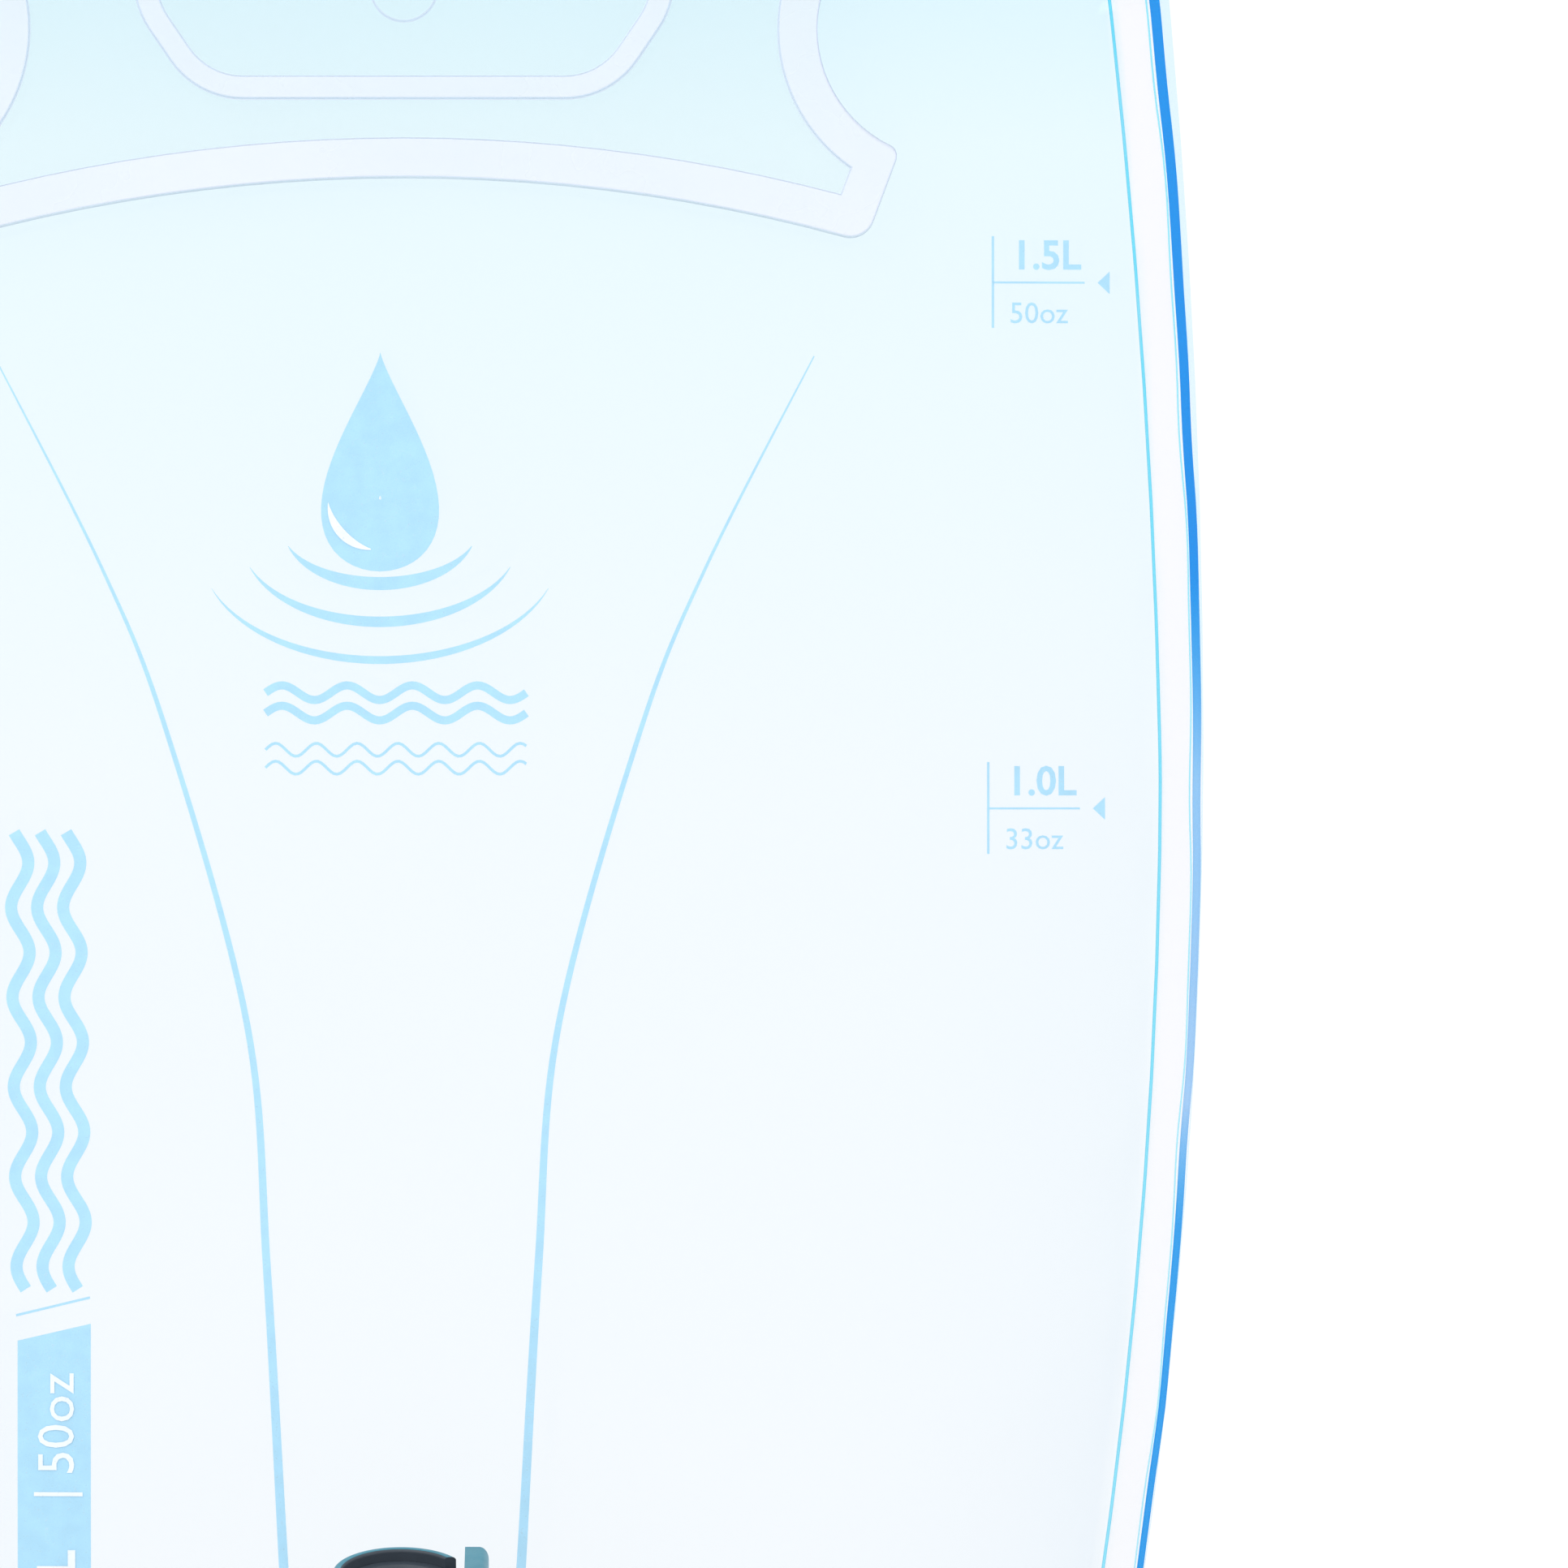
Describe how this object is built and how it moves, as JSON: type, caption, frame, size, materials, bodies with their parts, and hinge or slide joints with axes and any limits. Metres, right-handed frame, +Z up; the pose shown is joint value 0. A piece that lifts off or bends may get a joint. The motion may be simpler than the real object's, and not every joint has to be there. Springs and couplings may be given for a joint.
{
  "type": "hydration bladder",
  "caption": "Flexible clear water reservoir with a slide-on top closure, grip plate and a swivelling quick-release hose socket.",
  "frame": {"origin": "centre of the hang hole at the top of the slider", "axes": "+Z up along the hanging bag, +X to the wearer's right, -Y to the front with the graduations and the port"},
  "size_m": [0.1968, 0.0635, 0.297],
  "materials": {
    "film": "glossy clear film",
    "clear_plastic": "glossy tinted clear moulding",
    "white_plastic": "satin",
    "teal_plastic": "satin",
    "dark_plastic": "fine texture",
    "latch": "satin",
    "rubber": "matt",
    "spring_steel": "bright drawn wire"
  },
  "bodies": {
    "slider": {"slider_channel": "clear_plastic", "slider_end_cap": "clear_plastic", "grip_plate": "clear_plastic"},
    "bag": {"front_panel": "film", "back_panel": "film", "closure_rail": "white_plastic", "port_flange": "dark_plastic"},
    "elbow": {"elbow_body": "dark_plastic", "spigot_o_ring": "rubber", "snap_ring": "spring_steel", "spring_retainer": "dark_plastic", "valve_spring": "spring_steel", "valve_seat": "dark_plastic", "socket_liner": "dark_plastic", "socket_o_ring": "rubber", "socket_shell": "teal_plastic", "button_spring": "spring_steel"},
    "valve": {"poppet": "dark_plastic", "poppet_seal": "rubber"},
    "release": {"release_button": "teal_plastic", "latch_plate": "latch"}
  },
  "joints": [
    {"name": "slider_slide", "type": "slide", "parent": "slider", "child": "bag", "axis": [-1, 0, 0], "range_m": [0, 0.19]},
    {"name": "elbow_swivel", "type": "hinge", "parent": "bag", "child": "elbow", "pos_m": [0, -0.01801, -0.2516], "axis": [0, -0.9397, -0.342], "continuous": true},
    {"name": "valve_travel", "type": "slide", "parent": "elbow", "child": "valve", "axis": [0, 0.342, -0.9397], "range_m": [0, 0.0028], "stiffness_N_per_m": 300, "springref_m": -0.002, "deforming": ["valve_spring"]},
    {"name": "button_press", "type": "slide", "parent": "elbow", "child": "release", "axis": [-1, 0, 0], "range_m": [0, 0.0014], "stiffness_N_per_m": 1500, "springref_m": -0.001, "deforming": ["button_spring"]}
  ]
}
